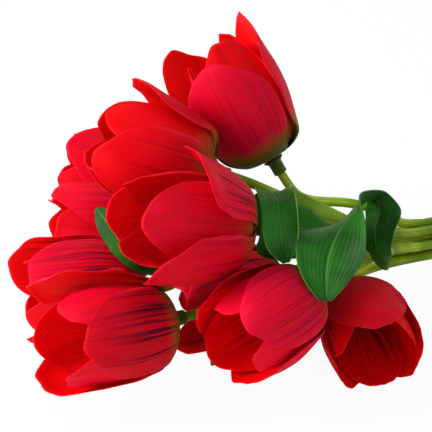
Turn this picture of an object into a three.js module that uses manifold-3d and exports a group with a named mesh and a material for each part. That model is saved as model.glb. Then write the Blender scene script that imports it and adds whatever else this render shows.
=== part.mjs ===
// A bunch of ten artificial tulips lying on a table: wired plastic stems, fabric flower cups and
// fabric leaves, held together by one band round the stems.
// Sizes are in millimetres and angles in degrees. +Z is up and the flowers lie toward -X.
import * as THREE from "three";
import { mergeVertices } from "three/addons/utils/BufferGeometryUtils.js";
import Module from "manifold-3d";

const wasm = await Module();
wasm.setup();

const { clamp, degToRad, lerp } = THREE.MathUtils;

// Clearance between pieces that touch.
const gap = 0.3;

// Stem: a plastic sheath over a steel wire.
const stemRadius = 2.3;
const stemSides = 8;
const wireRadius = 0.85;
const wireSides = 5;
const wireInset = 1.5;
const bendSteps = 8;      // steps along a stem's bend, from the bundle to the flower

// Bundle: three stems in the middle and seven round them, in a straight run that rises to the flowers.
const stemPitch = 5.2;
const bundleStart = -70;
const bundleEnd = 125;
const bundleHeight = 27;
const bundleSlope = 0.128;

// Band round the bundle.
const bandPlace = 10;
const bandWidth = 14;
const bandWall = 1.2;
const bandSides = 16;

// Receptacle: the moulded piece that carries the petals.
const socketDepth = 6;
const socketWall = 0.8;
const socketFloor = 1.2;
const flangeRadius = 5.2;
const flangeWall = 0.9;
const postRadius = 1.3;
const pistilRadius = 2.1;
const pistilHeight = 21;

// Petals: cut from fabric and pressed into a cup, three to a whorl.
const petalWall = 0.6;
const ringWall = 0.9;
const ringRadius = 4.4;
const ringSides = 6;
const outerPetal = {
  start: 0,      // height of the petal's base above the flange
  root: 3,       // distance of its base from the axis
  length: 72,    // along the middle, base to tip
  width: 27,     // half width, measured round the curve
  shoulder: 0.55, // share of the length at which the rounded tip begins
  round: 2,      // 2 gives a round tip, less gives a pointed one
  floor: 10,     // slope of the base
  flat: 10,      // length of the base before the bend
  bend: 11,      // length of the bend
  rise: 69,      // slope after the bend, where 90 runs along the axis
  tip: 111,      // slope at the tip, past 90 where it closes in
  cup: 26,       // radius of the hollow across the petal
  columns: 6,
};
const innerPetal = {
  ...outerPetal,
  start: 1.6,
  length: 68,
  width: 24,
  flat: 8,
  rise: 73,
  tip: 113,
  cup: 23,
  columns: 4,
};
const petalSector = 56;   // half the turn that a petal's base covers
const upperRows = [0.38, 0.74, 1];   // rows of corners above the bend, as shares of what is left there

// Leaves: fabric, each with a collar that clasps its stem.
const leafWall = 0.8;
const leafHollow = 0.2;
const leafRows = 9;
const leafColumns = 4;
const collarWall = 0.6;
const collarLength = 9;
const collarShare = 0.8;  // of a straight step of the stem, at most

const sheathGreen = new THREE.MeshStandardMaterial({ color: 0x8fa61e, roughness: 0.45, metalness: 0 });
const mouldGreen = new THREE.MeshStandardMaterial({ color: 0x3f5a16, roughness: 0.5, metalness: 0 });
const wireSteel = new THREE.MeshStandardMaterial({ color: 0x8a8d90, roughness: 0.35, metalness: 1 });
const petalRed = new THREE.MeshStandardMaterial({ color: 0xc8102a, roughness: 0.6, metalness: 0 });
const petalDeep = new THREE.MeshStandardMaterial({ color: 0x9f0a22, roughness: 0.6, metalness: 0 });
const leafGreen = new THREE.MeshStandardMaterial({ color: 0x1f6b22, roughness: 0.65, metalness: 0 });
const bandClear = new THREE.MeshStandardMaterial({ color: 0x5f8a3a, roughness: 0.4, metalness: 0 });

// Each tulip: its slot in the bundle (ring and direction), the neck where the stem meets the flower,
// the flower's heading and pitch, its turn about its own axis, and how far the stem runs on along the
// bundle and along the flower before it bends. A stem may go through a point via, heading through.
// size shortens the petals, press flattens the cup in one direction, and inner and outer change
// single petals of a whorl, or all of them.
const TULIPS = [
  {
    name: "a", ring: "outer", slot: 64, neck: [-119, 65, 66], heading: 120, pitch: 55, turn: 52,
    leave: 60, arrive: 50,
    via: [-110, 14, 62], through: [-50, 32, 4],
    inner: { all: { flat: 6, rise: 76, width: 27 }, 1: { rise: 74, tip: 108, length: 74 }, 2: { length: 76 } },
    outer: {
      0: { rise: 65, tip: 109 },
      1: { rise: 74, tip: 100, length: 83, flat: 9, round: 2.2 },
      2: { rise: 59, tip: 99, length: 77 },
    },
  },
  {
    name: "b", ring: "outer", slot: 13, neck: [-160, 56, 75], heading: 150, pitch: 21, turn: 31,
    leave: 115, arrive: 90,
    outer: { 1: { rise: 68, tip: 90, length: 65, width: 21, round: 1.3 } },
  },
  {
    name: "c", ring: "outer", slot: 321, neck: [-152, 115, 30], heading: 146, pitch: 20, turn: 89,
    leave: 112, arrive: 120,
    size: 0.97, press: { toward: 119, share: 0.86 },
  },
  {
    name: "d", ring: "outer", slot: 270, neck: [-175, 80, 29], heading: 152, pitch: 9, turn: 119,
    leave: 90, arrive: 150,
    size: 0.95, press: { toward: 119, share: 0.76 },
  },
  {
    name: "e", ring: "inner", slot: 330, neck: [-203, 47, 27], heading: 160, pitch: 3, turn: 85,
    leave: 95, arrive: 30,
    via: [-139, 59, 32], through: [-85, 24, -5], press: { toward: 120, share: 0.86 },
    outer: { 1: { rise: 68, tip: 100, length: 76 } },
  },
  {
    name: "f", ring: "outer", slot: 116, neck: [-175, 1, 75], heading: 166, pitch: 16, turn: 116,
    leave: 90, arrive: 90,
    inner: { all: { width: 26 } },
    outer: { 0: { rise: 60, tip: 78, length: 58 }, 2: { rise: 60, tip: 102 } },
  },
  {
    name: "g", ring: "inner", slot: 90, neck: [-215, 6, 36], heading: 179, pitch: 7, turn: 55,
    leave: 115, arrive: 70,
    via: [-135, 1, 40], through: [-65, 3, -3], size: 0.97,
    inner: { 2: { rise: 70, tip: 104 } },
    outer: { 1: { rise: 62, tip: 104 }, 2: { rise: 68, tip: 103, length: 75 } },
  },
  {
    name: "h", ring: "outer", slot: 167, neck: [-159, -23, 47], heading: 194, pitch: -3, turn: 80,
    leave: 65, arrive: 25,
    via: [-115, -16, 49], through: [-54, -12, 3], size: 0.87,
    inner: { 2: { rise: 70, tip: 106 } },
    outer: { 1: { rise: 65, tip: 107 }, 2: { rise: 69, tip: 109 } },
  },
  {
    name: "i", ring: "outer", slot: 219, neck: [-122, -11, 25], heading: 247, pitch: -1, turn: 126,
    leave: 30, arrive: 50,
    size: 0.92, press: { toward: 178, share: 0.9 },
    inner: { all: { rise: 80, tip: 96, length: 60, width: 21 } },
    outer: { all: { rise: 75, tip: 103, length: 66 } },
  },
  {
    name: "j", ring: "inner", slot: 210, neck: [-142, 25, 25], heading: 180, pitch: -2, turn: 5,
    leave: 70, arrive: 50,
    size: 0.83, press: { toward: 110, share: 0.85 },
    outer: { 0: { rise: 64, tip: 95, length: 76 } },
  },
];

// Each leaf: the stem that its collar clasps and the step of the stem's line, then the leaf's middle
// line from root to tip. A row is x, y, z and the half width there, then the direction of one edge.
const LEAVES = [
  {
    name: "front", stem: "h", step: 4,
    rows: [
      [-112, -23, 48, 3.5, -0.1, -0.1, 1],
      [-119, -24, 56, 6, 0.3, -0.8, 0.5],
      [-116, -17, 64, 10, 0.3, -0.8, 0.5],
      [-110, -12, 70, 10, 0.4, -0.8, 0.5],
      [-112, -10, 77, 5, 0.4, -0.7, 0.6],
      [-129, -18, 80, 9, 0.7, 0, 0.7],
      [-147, -29, 78, 15, 0.9, -0.2, 0.4],
      [-159, -38, 71, 14, 0.9, -0.4, 0.1],
      [-166, -47, 59, 4, 0.8, -0.5, 0],
    ],
  },
  {
    name: "fold", stem: "f", step: 4,
    rows: [
      [-116, 6, 57, 3, 0.3, 0.4, 0.9],
      [-123, 13, 59, 5, 0.4, 0.3, 0.8],
      [-132, 19, 62, 7, 0.4, 0.1, 0.9],
      [-141, 19, 69, 7, 0.6, -0.2, 0.7],
      [-155, 11, 83, 8, 0.9, -0.5, 0],
      [-164, -6, 89, 8, 0.9, -0.5, 0.1],
      [-168, -14, 83, 8, 0.9, -0.5, 0.1],
      [-171, -20, 76, 7, 0.8, -0.5, 0],
      [-171, -24, 68, 2, 0.8, -0.5, 0],
    ],
  },
  {
    name: "rib", stem: "f", step: 5,
    rows: [
      [-138, -8, 64, 6, 0.3, 0.4, 0.9],
      [-148, -8, 68, 11, 0.3, 0.4, 0.9],
      [-158, -7, 72, 13, 0.3, 0.4, 0.9],
      [-168, -7, 76, 13, 0.3, 0.4, 0.9],
      [-174, -7, 78, 11, 0.3, 0.4, 0.9],
    ],
  },
  {
    name: "high", stem: "b", step: 3,
    rows: [
      [-111, 26, 44, 4, 0.3, 0.4, 0.9],
      [-117, 32, 46, 5, 0.3, 0.4, 0.9],
      [-122, 37, 46, 6, 0.3, 0.4, 0.9],
      [-131, 40, 49, 11, 0.3, 0.4, 0.9],
      [-138, 44, 50, 11, 0.3, 0.4, 0.9],
      [-146, 47, 49, 3, 0.3, 0.4, 0.9],
    ],
  },
  {
    name: "gap", stem: "e", step: 5,
    rows: [
      [-167, 51, 38, 6, 0.3, 0.4, 0.9],
      [-187, 42, 44, 8, 0.3, 0.4, 0.9],
      [-203, 37, 49, 8, 0.3, 0.4, 0.9],
      [-214, 41, 57, 8, 0.6, 0.1, 0.8],
      [-218, 54, 64, 6, 0.8, -0.1, 0.6],
      [-219, 63, 68, 2, 0.8, -0.1, 0.6],
    ],
  },
  {
    name: "low", stem: "g", step: 5,
    rows: [
      [-144, -1, 33, 4, 0.8, -0.5, 0],
      [-150, -6, 28, 6, 0.8, -0.5, 0.4],
      [-162, -10, 21, 7, 0.5, -0.4, 0.8],
      [-178, -8, 15, 7, 0.2, -0.3, 0.9],
      [-198, -4, 12, 2, -0.1, -0.2, 1],
    ],
  },
];

const up = new THREE.Vector3(0, 0, 1);
const bundleDirection = new THREE.Vector3(-1, 0, bundleSlope).normalize();
const innerRing = stemPitch / Math.sqrt(3);
const outerRing = innerRing + stemPitch;

const smooth = (x) => THREE.MathUtils.smoothstep(x, 0, 1);
const vector = (values) => new THREE.Vector3(...values);
const circumscribed = (radius, sides) => radius / Math.cos(Math.PI / sides);

// A solid from points and triangles that close on themselves.
function solidOf(points, faces) {
  const vertProperties = new Float32Array(points.flatMap((point) => point.toArray()));
  const triVerts = new Uint32Array(faces.flat());
  return new wasm.Manifold(new wasm.Mesh({ numProp: 3, vertProperties, triVerts }));
}

// The solid inside a closed three.js geometry.
function solidIn(geometry) {
  geometry.deleteAttribute("normal");
  geometry.deleteAttribute("uv");
  const merged = mergeVertices(geometry, 1e-5);
  const vertProperties = new Float32Array(merged.attributes.position.array);
  const triVerts = new Uint32Array(merged.index.array);
  return new wasm.Manifold(new wasm.Mesh({ numProp: 3, vertProperties, triVerts }));
}

function meshOf(name, solid, material) {
  const { vertProperties, triVerts } = solid.getMesh();
  const geometry = new THREE.BufferGeometry();
  geometry.setAttribute("position", new THREE.BufferAttribute(vertProperties, 3));
  geometry.setIndex(new THREE.BufferAttribute(triVerts, 1));
  geometry.computeVertexNormals();
  const mesh = new THREE.Mesh(geometry, material);
  mesh.name = name;
  return mesh;
}

// A solid turned about +Z from a closed outline of radius and height.
function turned(outline, sides) {
  const points = outline.map(([radius, height]) => new THREE.Vector2(radius, height));
  const geometry = new THREE.LatheGeometry(points, sides);
  geometry.rotateX(Math.PI / 2);
  return solidIn(geometry);
}

// A solid rod along a line of points, with flat ends.
function rod(line, radius, sides) {
  const points = [];
  const faces = [];
  let across = null;
  line.forEach((point, i) => {
    const before = line[Math.max(i - 1, 0)];
    const after = line[Math.min(i + 1, line.length - 1)];
    const along = after.clone().sub(before).normalize();
    across = across ?? new THREE.Vector3(0, 1, 0);
    across.addScaledVector(along, -across.dot(along)).normalize();
    const third = along.clone().cross(across);
    for (let k = 0; k < sides; k++) {
      const angle = (2 * Math.PI * (k + 0.5)) / sides;
      const corner = point.clone().addScaledVector(across, radius * Math.cos(angle));
      points.push(corner.addScaledVector(third, radius * Math.sin(angle)));
    }
  });
  for (let i = 0; i < line.length - 1; i++) {
    for (let k = 0; k < sides; k++) {
      const a = i * sides + k;
      const b = i * sides + ((k + 1) % sides);
      faces.push([a, b, b + sides], [a, b + sides, a + sides]);
    }
  }
  const last = (line.length - 1) * sides;
  for (let k = 1; k < sides - 1; k++) {
    faces.push([0, k + 1, k], [last, last + k, last + k + 1]);
  }
  return solidOf(points, faces);
}

// The line with its two ends moved outward, or inward where reach is negative.
function stretched(line, reach) {
  const longer = line.map((point) => point.clone());
  const end = line.length - 1;
  longer[0].addScaledVector(line[0].clone().sub(line[1]).normalize(), reach);
  longer[end].addScaledVector(line[end].clone().sub(line[end - 1]).normalize(), reach);
  return longer;
}

// Where the surface at(u, t) faces, from points close by. u runs from -1 to 1.
function facing(at, u, t) {
  const step = 0.002;
  const acrossStep = at(Math.min(u + step, 1), t).sub(at(Math.max(u - step, -1), t));
  const alongStep = at(u, t + step).sub(at(u, Math.max(t - step, 0)));
  return acrossStep.cross(alongStep).normalize();
}

// A closed sheet about the surface at(u, t). Each row is a function that gives t for a u.
function sheet(at, columns, rows, wall) {
  const front = [];
  const back = [];
  for (const row of rows) {
    for (let c = 0; c <= columns; c++) {
      const u = (2 * c) / columns - 1;
      const t = row(u);
      const point = at(u, t);
      const normal = facing(at, u, t);
      front.push(point.clone().addScaledVector(normal, wall / 2));
      back.push(point.clone().addScaledVector(normal, -wall / 2));
    }
  }
  const width = columns + 1;
  const count = front.length;
  const faces = [];
  for (let r = 0; r < rows.length - 1; r++) {
    for (let c = 0; c < columns; c++) {
      const a = r * width + c;
      const corners = [a, a + 1, a + 1 + width, a + width];
      faces.push([corners[0], corners[1], corners[2]], [corners[0], corners[2], corners[3]]);
      const [p, q, s, w] = corners.map((corner) => corner + count);
      faces.push([p, s, q], [p, w, s]);
    }
  }
  for (const [p, q] of rim(columns, rows.length - 1)) {
    faces.push([q, p, p + count], [q, p + count, q + count]);
  }
  return solidOf([...front, ...back], faces);
}

// The edges round a grid of points, in order.
function rim(columns, rows) {
  const width = columns + 1;
  const corners = [];
  for (let c = 0; c < columns; c++) corners.push(c);
  for (let r = 0; r < rows; r++) corners.push(r * width + columns);
  for (let c = columns; c > 0; c--) corners.push(rows * width + c);
  for (let r = rows; r > 0; r--) corners.push(r * width);
  return corners.map((corner, i) => [corner, corners[(i + 1) % corners.length]]);
}

// Slope of a petal's middle line, t millimetres from its base.
function petalSlope(petal, t) {
  const afterBend = t - petal.flat - petal.bend;
  const closing = clamp(afterBend / (petal.length - petal.flat - petal.bend), 0, 1);
  const bent = smooth((t - petal.flat) / petal.bend);
  return degToRad(petal.floor + (petal.rise - petal.floor) * bent + (petal.tip - petal.rise) * closing);
}

// The middle line as a function of t: distance from the axis, height and slope.
function petalLine(petal) {
  const step = 0.5;
  const line = [{ out: petal.root, up: petal.start, slope: petalSlope(petal, 0) }];
  for (let t = step; t <= petal.length + 2 * step; t += step) {
    const last = line[line.length - 1];
    const slope = petalSlope(petal, t);
    const middle = (slope + last.slope) / 2;
    line.push({ out: last.out + step * Math.cos(middle), up: last.up + step * Math.sin(middle), slope });
  }
  return (t) => {
    const i = Math.floor(t / step);
    const share = t / step - i;
    const [a, b] = [line[i], line[i + 1]];
    return { out: lerp(a.out, b.out, share), up: lerp(a.up, b.up, share), slope: lerp(a.slope, b.slope, share) };
  };
}

// One petal, standing over +X of a flower whose axis is +Z, then set in its place.
function petalSolid(petal, place) {
  const line = petalLine(petal);
  const reach = (u) => {
    const tip = Math.sqrt(1 - Math.abs(u) ** petal.round);
    return petal.length * lerp(petal.shoulder, 1, tip);
  };
  const at = (u, t) => {
    const { out, up: height, slope } = line(t);
    const grown = smooth(t / (petal.shoulder * petal.length));
    const half = Math.min(degToRad(petalSector) * out, petal.width * lerp(0.35, 1, grown));
    const own = smooth((t - petal.flat) / petal.bend);
    const radius = lerp(out, petal.cup, own);
    const angle = (u * half) / radius;
    const inward = radius * (1 - Math.cos(angle));
    const lean = new THREE.Vector2(own - 1 - own * Math.sin(slope), own * Math.cos(slope)).normalize();
    const point = new THREE.Vector3(out + inward * lean.x, radius * Math.sin(angle), height + inward * lean.y);
    return point.applyMatrix4(place);
  };
  const bent = petal.flat + petal.bend;
  const lower = [0, petal.flat, bent].map((t) => () => t);
  const upper = upperRows.map((share) => (u) => lerp(bent, reach(u), share));
  return sheet(at, petal.columns, [...lower, ...upper], petalWall);
}

// Flattens a cup in one direction, as the flowers press on each other.
function pressing({ toward = 0, share = 1 } = {}) {
  const turnBack = new THREE.Matrix4().makeRotationZ(degToRad(-toward));
  const flatten = new THREE.Matrix4().makeScale(share, 1, 1);
  return new THREE.Matrix4().makeRotationZ(degToRad(toward)).multiply(flatten).multiply(turnBack);
}

// Three petals a third of a turn apart, and the ring that joins them.
function whorl(basic, turn, tulip, changes = {}) {
  const size = tulip.size ?? 1;
  let solid = ringSolid(basic.start);
  for (let i = 0; i < 3; i++) {
    const petal = { ...basic, ...changes.all, ...changes[i] };
    for (const part of ["length", "width", "flat", "bend", "cup"]) petal[part] *= size;
    const spin = new THREE.Matrix4().makeRotationZ(degToRad(turn + 120 * i));
    solid = solid.add(petalSolid(petal, pressing(tulip.press).multiply(spin)));
  }
  return solid;
}

function ringSolid(height) {
  const hole = circumscribed(postRadius + gap, ringSides);
  const low = height - ringWall / 2;
  const high = height + ringWall / 2;
  return turned([[hole, low], [ringRadius, low], [ringRadius, high], [hole, high], [hole, low]], ringSides);
}

// Socket, flange and post in one moulding, with the pistil as a knob on the post.
function receptacleSolid() {
  const top = -ringWall / 2 - gap;
  const floor = top - flangeWall - socketFloor;
  const bore = circumscribed(stemRadius + gap, stemSides);
  const outline = [
    [0, floor],
    [bore, floor],
    [bore, floor - socketDepth],
    [bore + socketWall, floor - socketDepth],
    [bore + socketWall, top - flangeWall - 0.8],
    [flangeRadius, top - flangeWall],
    [flangeRadius, top],
    [postRadius, top],
    [postRadius, pistilHeight - 3],
    [pistilRadius, pistilHeight - 1],
    [pistilRadius * 0.8, pistilHeight + 1],
    [0, pistilHeight + 1.6],
  ];
  return turned(outline, stemSides);
}

// Height of the stem's end below the neck, inside the socket.
const stemEnd = ringWall / 2 + gap + flangeWall + socketFloor + gap;

function slotPoint(tulip, x) {
  const radius = tulip.ring === "inner" ? innerRing : outerRing;
  const angle = degToRad(tulip.slot);
  return new THREE.Vector3(x, radius * Math.cos(angle), bundleHeight - bundleSlope * x + radius * Math.sin(angle));
}

function flowerAxis(tulip) {
  const level = Math.cos(degToRad(tulip.pitch));
  const heading = degToRad(tulip.heading);
  return new THREE.Vector3(level * Math.cos(heading), level * Math.sin(heading), Math.sin(degToRad(tulip.pitch)));
}

// A smooth run between two points, given how it leaves one and arrives at the other.
function bend(from, leaving, to, arriving) {
  const first = from.clone().addScaledVector(leaving, 1 / 3);
  const second = to.clone().addScaledVector(arriving, -1 / 3);
  return new THREE.CubicBezierCurve3(from, first, second, to);
}

// The bent runs of a stem, from the bundle to the flower's socket.
function stemBends(tulip) {
  const from = slotPoint(tulip, bundleStart);
  const axis = flowerAxis(tulip);
  const to = vector(tulip.neck).addScaledVector(axis, -stemEnd - socketDepth - 1);
  const leaving = bundleDirection.clone().multiplyScalar(tulip.leave);
  const arriving = axis.clone().multiplyScalar(tulip.arrive);
  if (!tulip.via) return [bend(from, leaving, to, arriving)];
  const middle = vector(tulip.via);
  const passing = vector(tulip.through);
  return [bend(from, leaving, middle, passing), bend(middle, passing, to, arriving)];
}

function stemLine(tulip) {
  const bends = stemBends(tulip);
  const line = [slotPoint(tulip, bundleEnd), slotPoint(tulip, bundleStart)];
  for (const run of bends) {
    line.push(...run.getPoints(bendSteps / bends.length).slice(1));
  }
  line.push(vector(tulip.neck).addScaledVector(flowerAxis(tulip), -stemEnd));
  return line;
}

function sheathSolid(line) {
  const bore = circumscribed(wireRadius + gap, wireSides);
  return rod(line, stemRadius, stemSides).subtract(rod(stretched(line, 1), bore, wireSides));
}

function tulipMeshes(tulip) {
  const line = stemLine(tulip);
  const flower = new THREE.Group();
  flower.position.copy(vector(tulip.neck));
  flower.rotation.set(0, degToRad(90 - tulip.pitch), degToRad(tulip.heading), "ZYX");
  flower.add(
    meshOf(`receptacle_${tulip.name}`, receptacleSolid(), mouldGreen),
    meshOf(`petals_inner_${tulip.name}`, whorl(innerPetal, tulip.turn, tulip, tulip.inner), petalDeep),
    meshOf(`petals_outer_${tulip.name}`, whorl(outerPetal, tulip.turn + 60, tulip, tulip.outer), petalRed),
  );
  return [
    meshOf(`stem_${tulip.name}`, sheathSolid(line), sheathGreen),
    meshOf(`wire_${tulip.name}`, rod(stretched(line, -wireInset), wireRadius, wireSides), wireSteel),
    flower,
  ];
}

// The run of a leaf's collar, inside one straight step of its stem.
function collarLine(leaf) {
  const line = stemLine(TULIPS.find(({ name }) => name === leaf.stem));
  const [from, to] = [line[leaf.step], line[leaf.step + 1]];
  const half = Math.min(collarLength / from.distanceTo(to), collarShare) / 2;
  return [0.5 - half, 0.5 + half].map((share) => from.clone().lerp(to, share));
}

function leafSolid(leaf) {
  const collar = collarLine(leaf);
  const bore = circumscribed(stemRadius + gap, stemSides);
  const clasp = rod(collar, bore + collarWall, stemSides).subtract(rod(stretched(collar, 1), bore, stemSides));
  return clasp.add(bladeSolid(leaf, collar, bore + collarWall / 2));
}

// A blade that leaves its collar along the stem and then follows the leaf's rows.
function bladeSolid(leaf, collar, rootRadius) {
  const along = collar[1].clone().sub(collar[0]).normalize();
  const centre = collar[0].clone().lerp(collar[1], 0.5);
  const away = vector(leaf.rows[0].slice(0, 3)).sub(centre);
  away.addScaledVector(along, -away.dot(along)).normalize();
  const root = centre.addScaledVector(away, rootRadius);
  const tangent = along.clone().cross(away);
  const middles = [root, ...leaf.rows.map((row) => vector(row.slice(0, 3)))];
  if (tangent.dot(vector(leaf.rows[0].slice(4))) < 0) tangent.negate();
  const edges = [tangent, ...leaf.rows.map((row) => vector(row.slice(4)))];
  const halves = [collarWall * 2, ...leaf.rows.map((row) => row[3])].map((half) => new THREE.Vector3(half, 0, 0));
  const curve = (points) => new THREE.CatmullRomCurve3(points, false, "catmullrom", 0.5);
  const [middleLine, edgeLine, halfLine] = [middles, edges, halves].map(curve);
  const at = (u, t) => {
    const share = clamp(t, 0, 1);
    const step = 0.001;
    const ahead = middleLine.getPoint(Math.min(share + step, 1));
    const heading = ahead.sub(middleLine.getPoint(Math.max(share - step, 0))).normalize();
    const edge = edgeLine.getPoint(share);
    edge.addScaledVector(heading, -edge.dot(heading)).normalize();
    const half = halfLine.getPoint(share).x;
    const hollow = heading.clone().cross(edge).multiplyScalar(leafHollow * half * u * u);
    return middleLine.getPoint(share).addScaledVector(edge, u * half).add(hollow);
  };
  const rows = Array.from({ length: leafRows + 1 }, (_, i) => () => i / leafRows);
  return sheet(at, leafColumns, rows, leafWall);
}

function bandMesh() {
  const inner = circumscribed(outerRing + stemRadius + gap, bandSides);
  const outer = inner + bandWall;
  const half = bandWidth / 2;
  const solid = turned([[inner, -half], [outer, -half], [outer, half], [inner, half], [inner, -half]], bandSides);
  const mesh = meshOf("binding_band", solid, bandClear);
  mesh.position.set(bandPlace, 0, bundleHeight - bundleSlope * bandPlace);
  mesh.quaternion.setFromUnitVectors(up, bundleDirection);
  return mesh;
}

const bunch = new THREE.Group();
for (const tulip of TULIPS) bunch.add(...tulipMeshes(tulip));
for (const leaf of LEAVES) bunch.add(meshOf(`leaf_${leaf.name}`, leafSolid(leaf), leafGreen));
bunch.add(bandMesh());

// The whole bunch stands on z = 0 with the middle of its box over the origin.
bunch.updateMatrixWorld(true);
const box = new THREE.Box3().setFromObject(bunch, true);
const middle = box.getCenter(new THREE.Vector3());
bunch.position.set(-middle.x, -middle.y, -box.min.z);
bunch.updateMatrixWorld(true);

export default bunch;
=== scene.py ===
"""Look of the bunch of artificial tulips: petals, leaves, stems and their finishes.

Shapes are worked out in millimetres in the bunch's own layout and then put in place in metres.
"""
import bpy
import bmesh
import math
from mathutils import Matrix, Vector, noise


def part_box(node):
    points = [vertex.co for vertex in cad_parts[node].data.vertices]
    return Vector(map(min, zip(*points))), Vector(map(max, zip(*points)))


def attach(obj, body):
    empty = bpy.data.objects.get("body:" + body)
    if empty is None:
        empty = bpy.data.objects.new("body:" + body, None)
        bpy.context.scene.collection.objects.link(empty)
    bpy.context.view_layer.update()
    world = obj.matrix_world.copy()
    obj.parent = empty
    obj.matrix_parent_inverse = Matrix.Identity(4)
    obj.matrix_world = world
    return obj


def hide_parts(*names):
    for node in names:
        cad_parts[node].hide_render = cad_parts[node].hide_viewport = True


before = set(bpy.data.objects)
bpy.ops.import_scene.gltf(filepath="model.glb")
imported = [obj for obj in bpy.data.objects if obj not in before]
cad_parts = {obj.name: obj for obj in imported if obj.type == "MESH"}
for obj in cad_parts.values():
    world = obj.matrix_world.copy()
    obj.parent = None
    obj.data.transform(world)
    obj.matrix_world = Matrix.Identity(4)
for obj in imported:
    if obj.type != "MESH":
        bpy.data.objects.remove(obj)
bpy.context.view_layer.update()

MM = 0.001

# Stems and the bundle they start from. The shown sheath is round where its solid has flat sides,
# so its radius is a share of the solid's.
STEM_RADIUS = 2.3
SHEATH_SHARE = 0.98
STEM_PITCH = 5.2
BUNDLE_START = -70
BUNDLE_END = 125
BUNDLE_HEIGHT = 27
BUNDLE_SLOPE = 0.128
BEND_STEPS = 8
INNER_RING = STEM_PITCH / math.sqrt(3)
OUTER_RING = INNER_RING + STEM_PITCH

# Binding band: its place along the bundle, and its outline round the stems.
BAND_PLACE = 10
BAND_WIDTH = 14
BAND_SPARE = 0.25
BAND_SHOULDER = 0.9
BAND_WALL = 1.15
BAND_EDGE = 0.4

# Receptacle: the socket takes the stem's end, and the whorls are threaded on the post, which is
# yellow above YELLOW_FROM. The stem is straight for the socket's depth and STRAIGHT_SPARE more.
GAP = 0.3
RING_WALL = 0.9
RING_RADIUS = 4.4
SOCKET_DEPTH = 6
SOCKET_WALL = 0.8
SOCKET_FLOOR = 1.2
FLANGE_RADIUS = 5.2
FLANGE_WALL = 0.9
POST_RADIUS = 1.3
PISTIL_RADIUS = 2.1
PISTIL_HEIGHT = 21
YELLOW_FROM = 5.3
STRAIGHT_SPARE = 1
MOULD_EDGE = 0.2
STEM_END = RING_WALL / 2 + GAP + FLANGE_WALL + SOCKET_FLOOR + GAP

# Petals: start, root, length, width, flat, bend and cup are lengths; floor, rise and tip are slopes
# in degrees; shoulder is the share of the length at which the rim starts to round off, and round
# is how blunt the tip is.
OUTER_PETAL = {
    "start": 0, "root": 3, "length": 72, "width": 27, "shoulder": 0.55, "round": 2,
    "floor": 10, "flat": 10, "bend": 11, "rise": 69, "tip": 111, "cup": 26,
}
INNER_PETAL = {
    **OUTER_PETAL,
    "start": 1.6, "length": 68, "width": 24, "flat": 8, "rise": 73, "tip": 113, "cup": 23,
}
SCALED_PARTS = ("length", "width", "flat", "bend", "cup")
PETALS = 3
PETAL_TURN = 360 / PETALS
# Half the angle that a petal's root may take up round the axis.
PETAL_SECTOR = 56
PETAL_WALL = 0.4
# Width at the root, as a share of the full width.
ROOT_WIDTH = 0.35
# A whorl's ring lies a little under the roots of its petals.
RING_DROP = 0.1

# Pressed cloth of a petal: heights of its waves, ripples and middle crease, which grow over
# FREE_LENGTH after the bend, and the curl of its rim. A rolled rim curls more by CURL_GAIN.
UNEVEN = 0.04
WAVE = 1.7
RIPPLE = 0.5
CREASE = 0.7
CREASE_WIDTH = 0.07
CURL = 1.8
CURL_GAIN = 0.4
RIM_START = 0.72
FREE_LENGTH = 18
INNER_ROLL = 0.3
OUTER_ROLL = 0.5

# Leaves: the hollow across as a share of the half width, and heights of the waves, of the frill
# at the edges and of the middle ridge, which grow over a share of the length. From
# LEAF_TIP_START on, the blade narrows.
LEAF_WALL = 0.7
LEAF_HOLLOW = 0.2
LEAF_WAVE = 0.9
LEAF_FRILL = 0.8
LEAF_WAVES_GROWN = 0.3
LEAF_RIDGE = 0.6
LEAF_RIDGE_WIDTH = 0.06
LEAF_RIDGE_GROWN = 0.15
LEAF_TIP_START = 0.96
LEAF_TIP_LOSS = 0.6
# A leaf's collar takes up no more than COLLAR_SHARE of the step that it clasps.
COLLAR_WALL = 0.6
COLLAR_LENGTH = 9
COLLAR_SHARE = 0.8
COLLAR_EDGE = 0.3

# How finely the shapes are drawn: columns across and rows along, sides round and steps along.
PETAL_GRID = (30, 44)
RING_GRID = (36, 3)
LEAF_GRID = (24, 90)
STEM_SIDES = 20
STRAIGHT_STEPS = 6
SPAN_STEPS = 5
TURNED_SIDES = 28
BAND_SIDES = 48
# Steps in which a petal's middle line is worked out, in millimetres, and a leaf's direction, as a
# share of its length.
LINE_STEP = 0.5
LEAF_STEP = 0.001
# Points that are nearer than this are joined: in a closed sheet in metres, in a turned solid in
# millimetres.
SHEET_WELD = 1e-6
TURNED_WELD = 1e-5

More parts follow.
